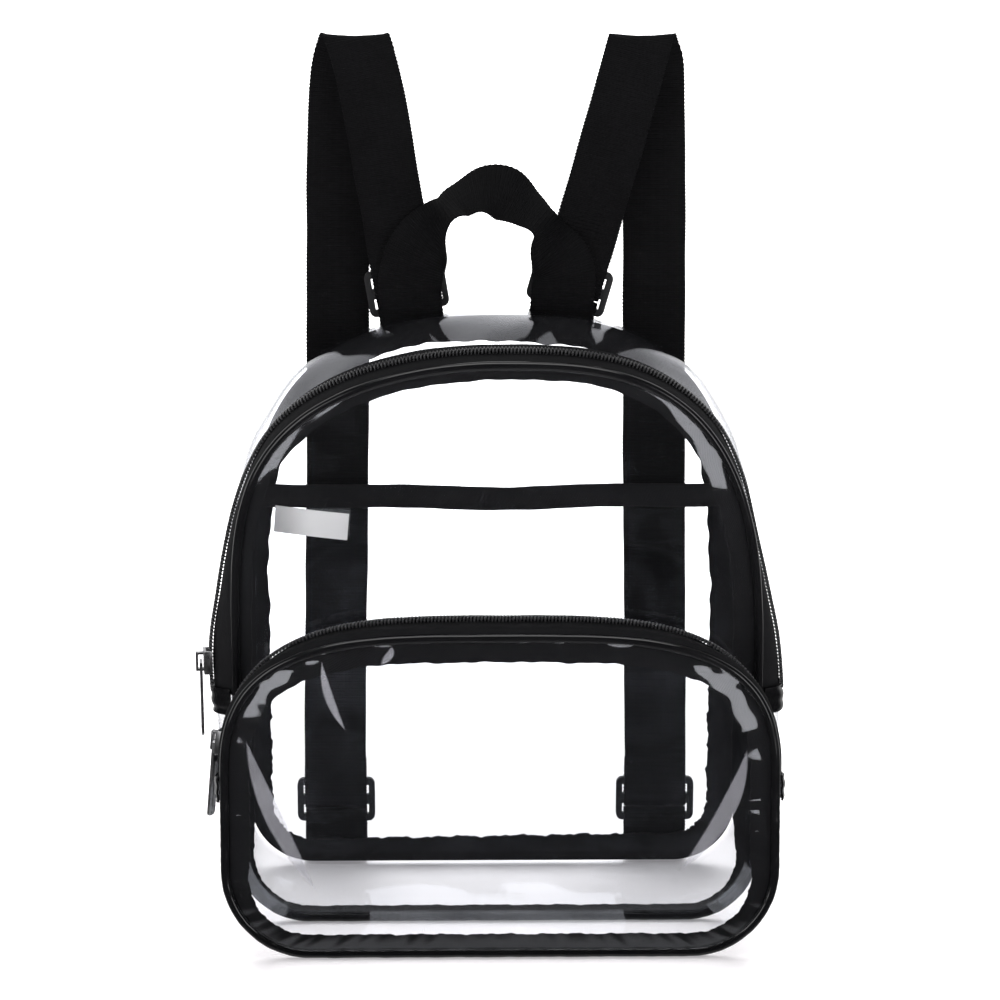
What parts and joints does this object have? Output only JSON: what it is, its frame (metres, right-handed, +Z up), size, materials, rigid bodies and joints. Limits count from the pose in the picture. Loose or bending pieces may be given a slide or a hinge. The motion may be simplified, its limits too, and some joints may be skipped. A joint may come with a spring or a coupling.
{
  "type": "clear stadium backpack",
  "caption": "Small domed backpack of clear vinyl with black piping, zipped main bag and front pocket, webbing grab handle and webbing shoulder straps.",
  "frame": {"origin": "middle of the foot of the whole part's bounding box, on the surface that the bag stands on", "axes": "+Z up; +Y to the back of the bag, towards the wearer; -Y is the side with the front pocket; +X to the right as seen from the front"},
  "size_m": [0.2722, 0.1554, 0.4066],
  "materials": {
    "clear_vinyl": "clear glossy soft vinyl sheet, gently rippled",
    "black_piping": "glossy black vinyl",
    "black_tape": "matt black woven tape",
    "zip_coil": "black nylon zip coil",
    "label_satin": "white satin, bare",
    "dark_metal": "dark nickel plate",
    "black_webbing": "black ribbed webbing",
    "black_plastic": "moulded black plastic"
  },
  "bodies": {
    "bag": {"main_front": "clear_vinyl", "main_piping": "black_piping", "main_seam_tape": "black_tape", "back_panel": "clear_vinyl", "back_binding": "black_tape", "main_zip_tape_front": "black_tape", "main_zip_tape_rear": "black_tape", "main_zip_coil": "zip_coil", "pocket_zip_tape_front": "black_tape", "pocket_zip_tape_rear": "black_tape", "pocket_zip_coil": "zip_coil", "main_gusset_top": "clear_vinyl", "main_gusset_base": "clear_vinyl", "pocket_gusset": "clear_vinyl", "main_zip_tab_right": "black_piping", "main_zip_tab_left": "black_piping", "pocket_zip_tab_right": "black_piping", "pocket_zip_tab_left": "black_piping", "pocket_front": "clear_vinyl", "pocket_piping": "black_piping", "pocket_seam_tape": "black_tape", "slip_pocket": "clear_vinyl", "slip_pocket_hem": "black_tape", "label": "label_satin", "main_slider": "dark_metal", "pocket_slider": "dark_metal", "handle": "black_webbing", "strap_left": "black_webbing", "upper_anchor_left": "black_webbing", "lower_anchor_left": "black_webbing", "upper_glide_left": "black_plastic", "lower_glide_left": "black_plastic", "strap_right": "black_webbing", "upper_anchor_right": "black_webbing", "lower_anchor_right": "black_webbing", "upper_glide_right": "black_plastic", "lower_glide_right": "black_plastic"},
    "main_zip_pull": {"main_pull": "dark_metal"},
    "pocket_zip_pull": {"pocket_pull": "dark_metal"}
  },
  "joints": [
    {"name": "main_pull_hinge", "type": "hinge", "parent": "bag", "child": "main_zip_pull", "pos_m": [-0.1335, -0.02207, 0.1241], "axis": [-0.1573, 0.9876, -0.0004], "range_deg": [0, 165]},
    {"name": "pocket_pull_hinge", "type": "hinge", "parent": "bag", "child": "pocket_zip_pull", "pos_m": [-0.12456, -0.04848, 0.09453], "axis": [0.3149, 0.9456, -0.0821], "range_deg": [0, 165]}
  ]
}
